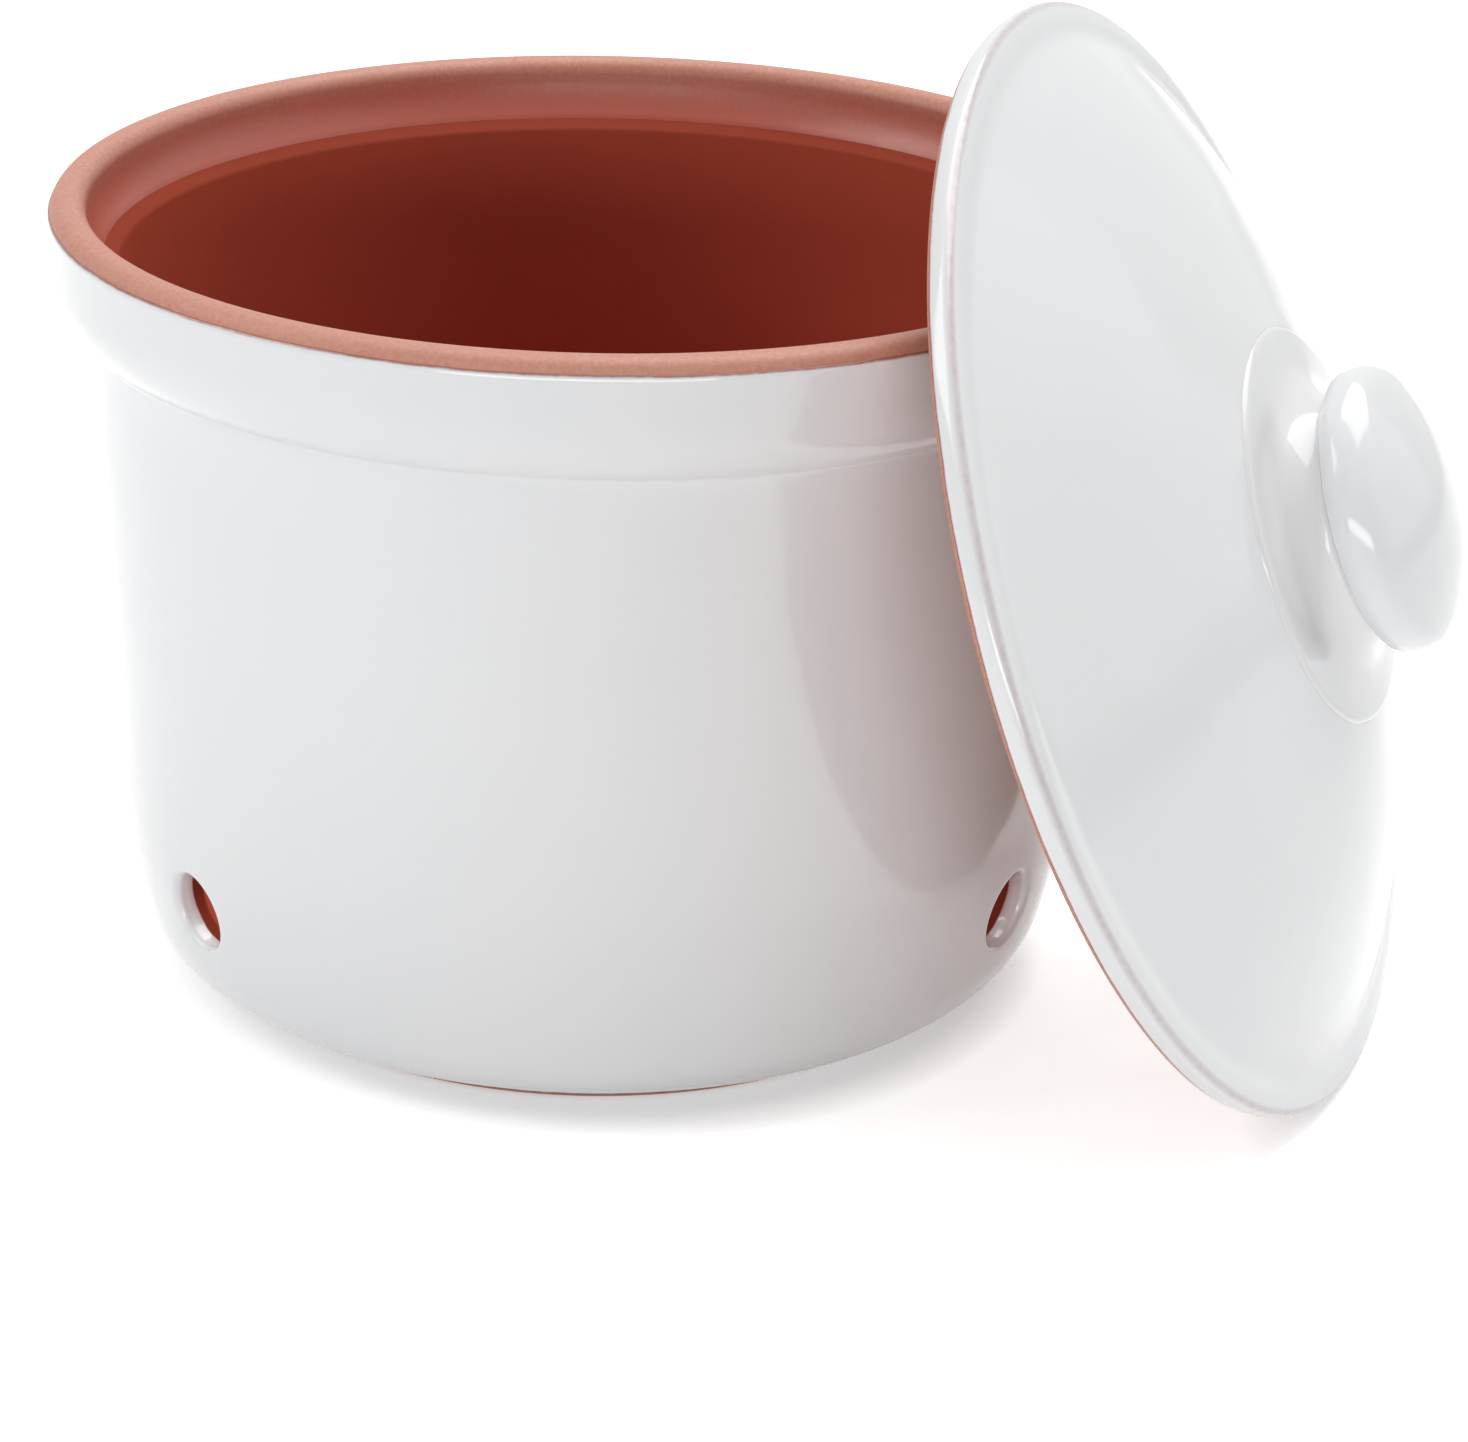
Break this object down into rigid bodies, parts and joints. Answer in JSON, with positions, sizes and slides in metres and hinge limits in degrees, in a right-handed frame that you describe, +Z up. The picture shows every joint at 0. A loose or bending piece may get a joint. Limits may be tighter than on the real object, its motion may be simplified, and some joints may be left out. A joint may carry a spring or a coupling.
{
  "type": "clay storage pot",
  "caption": "Round clay storage pot, glazed white outside and bare inside, with a foot ring, vent holes low in the wall and a domed lid with a knob, leaning on its lip.",
  "frame": {"origin": "centre of the pot's foot ring, on the surface that the pot stands on", "axes": "+Z up along the pot's axis, +X from the pot towards the lid that leans on it, +Y to the left of someone who looks along +X"},
  "size_m": [0.3343, 0.2584, 0.2415],
  "materials": {
    "clay": "matte",
    "glaze": "gloss"
  },
  "bodies": {
    "pot": {"pot_body": "clay", "pot_glaze": "glaze"},
    "lid": {"lid_body": "clay", "lid_knob": "clay", "lid_glaze": "glaze"}
  },
  "joints": [
    {"name": "lid_lift", "type": "slide", "parent": "pot", "child": "lid", "axis": [0, 0, 1], "range_m": [0, 0.2]}
  ]
}
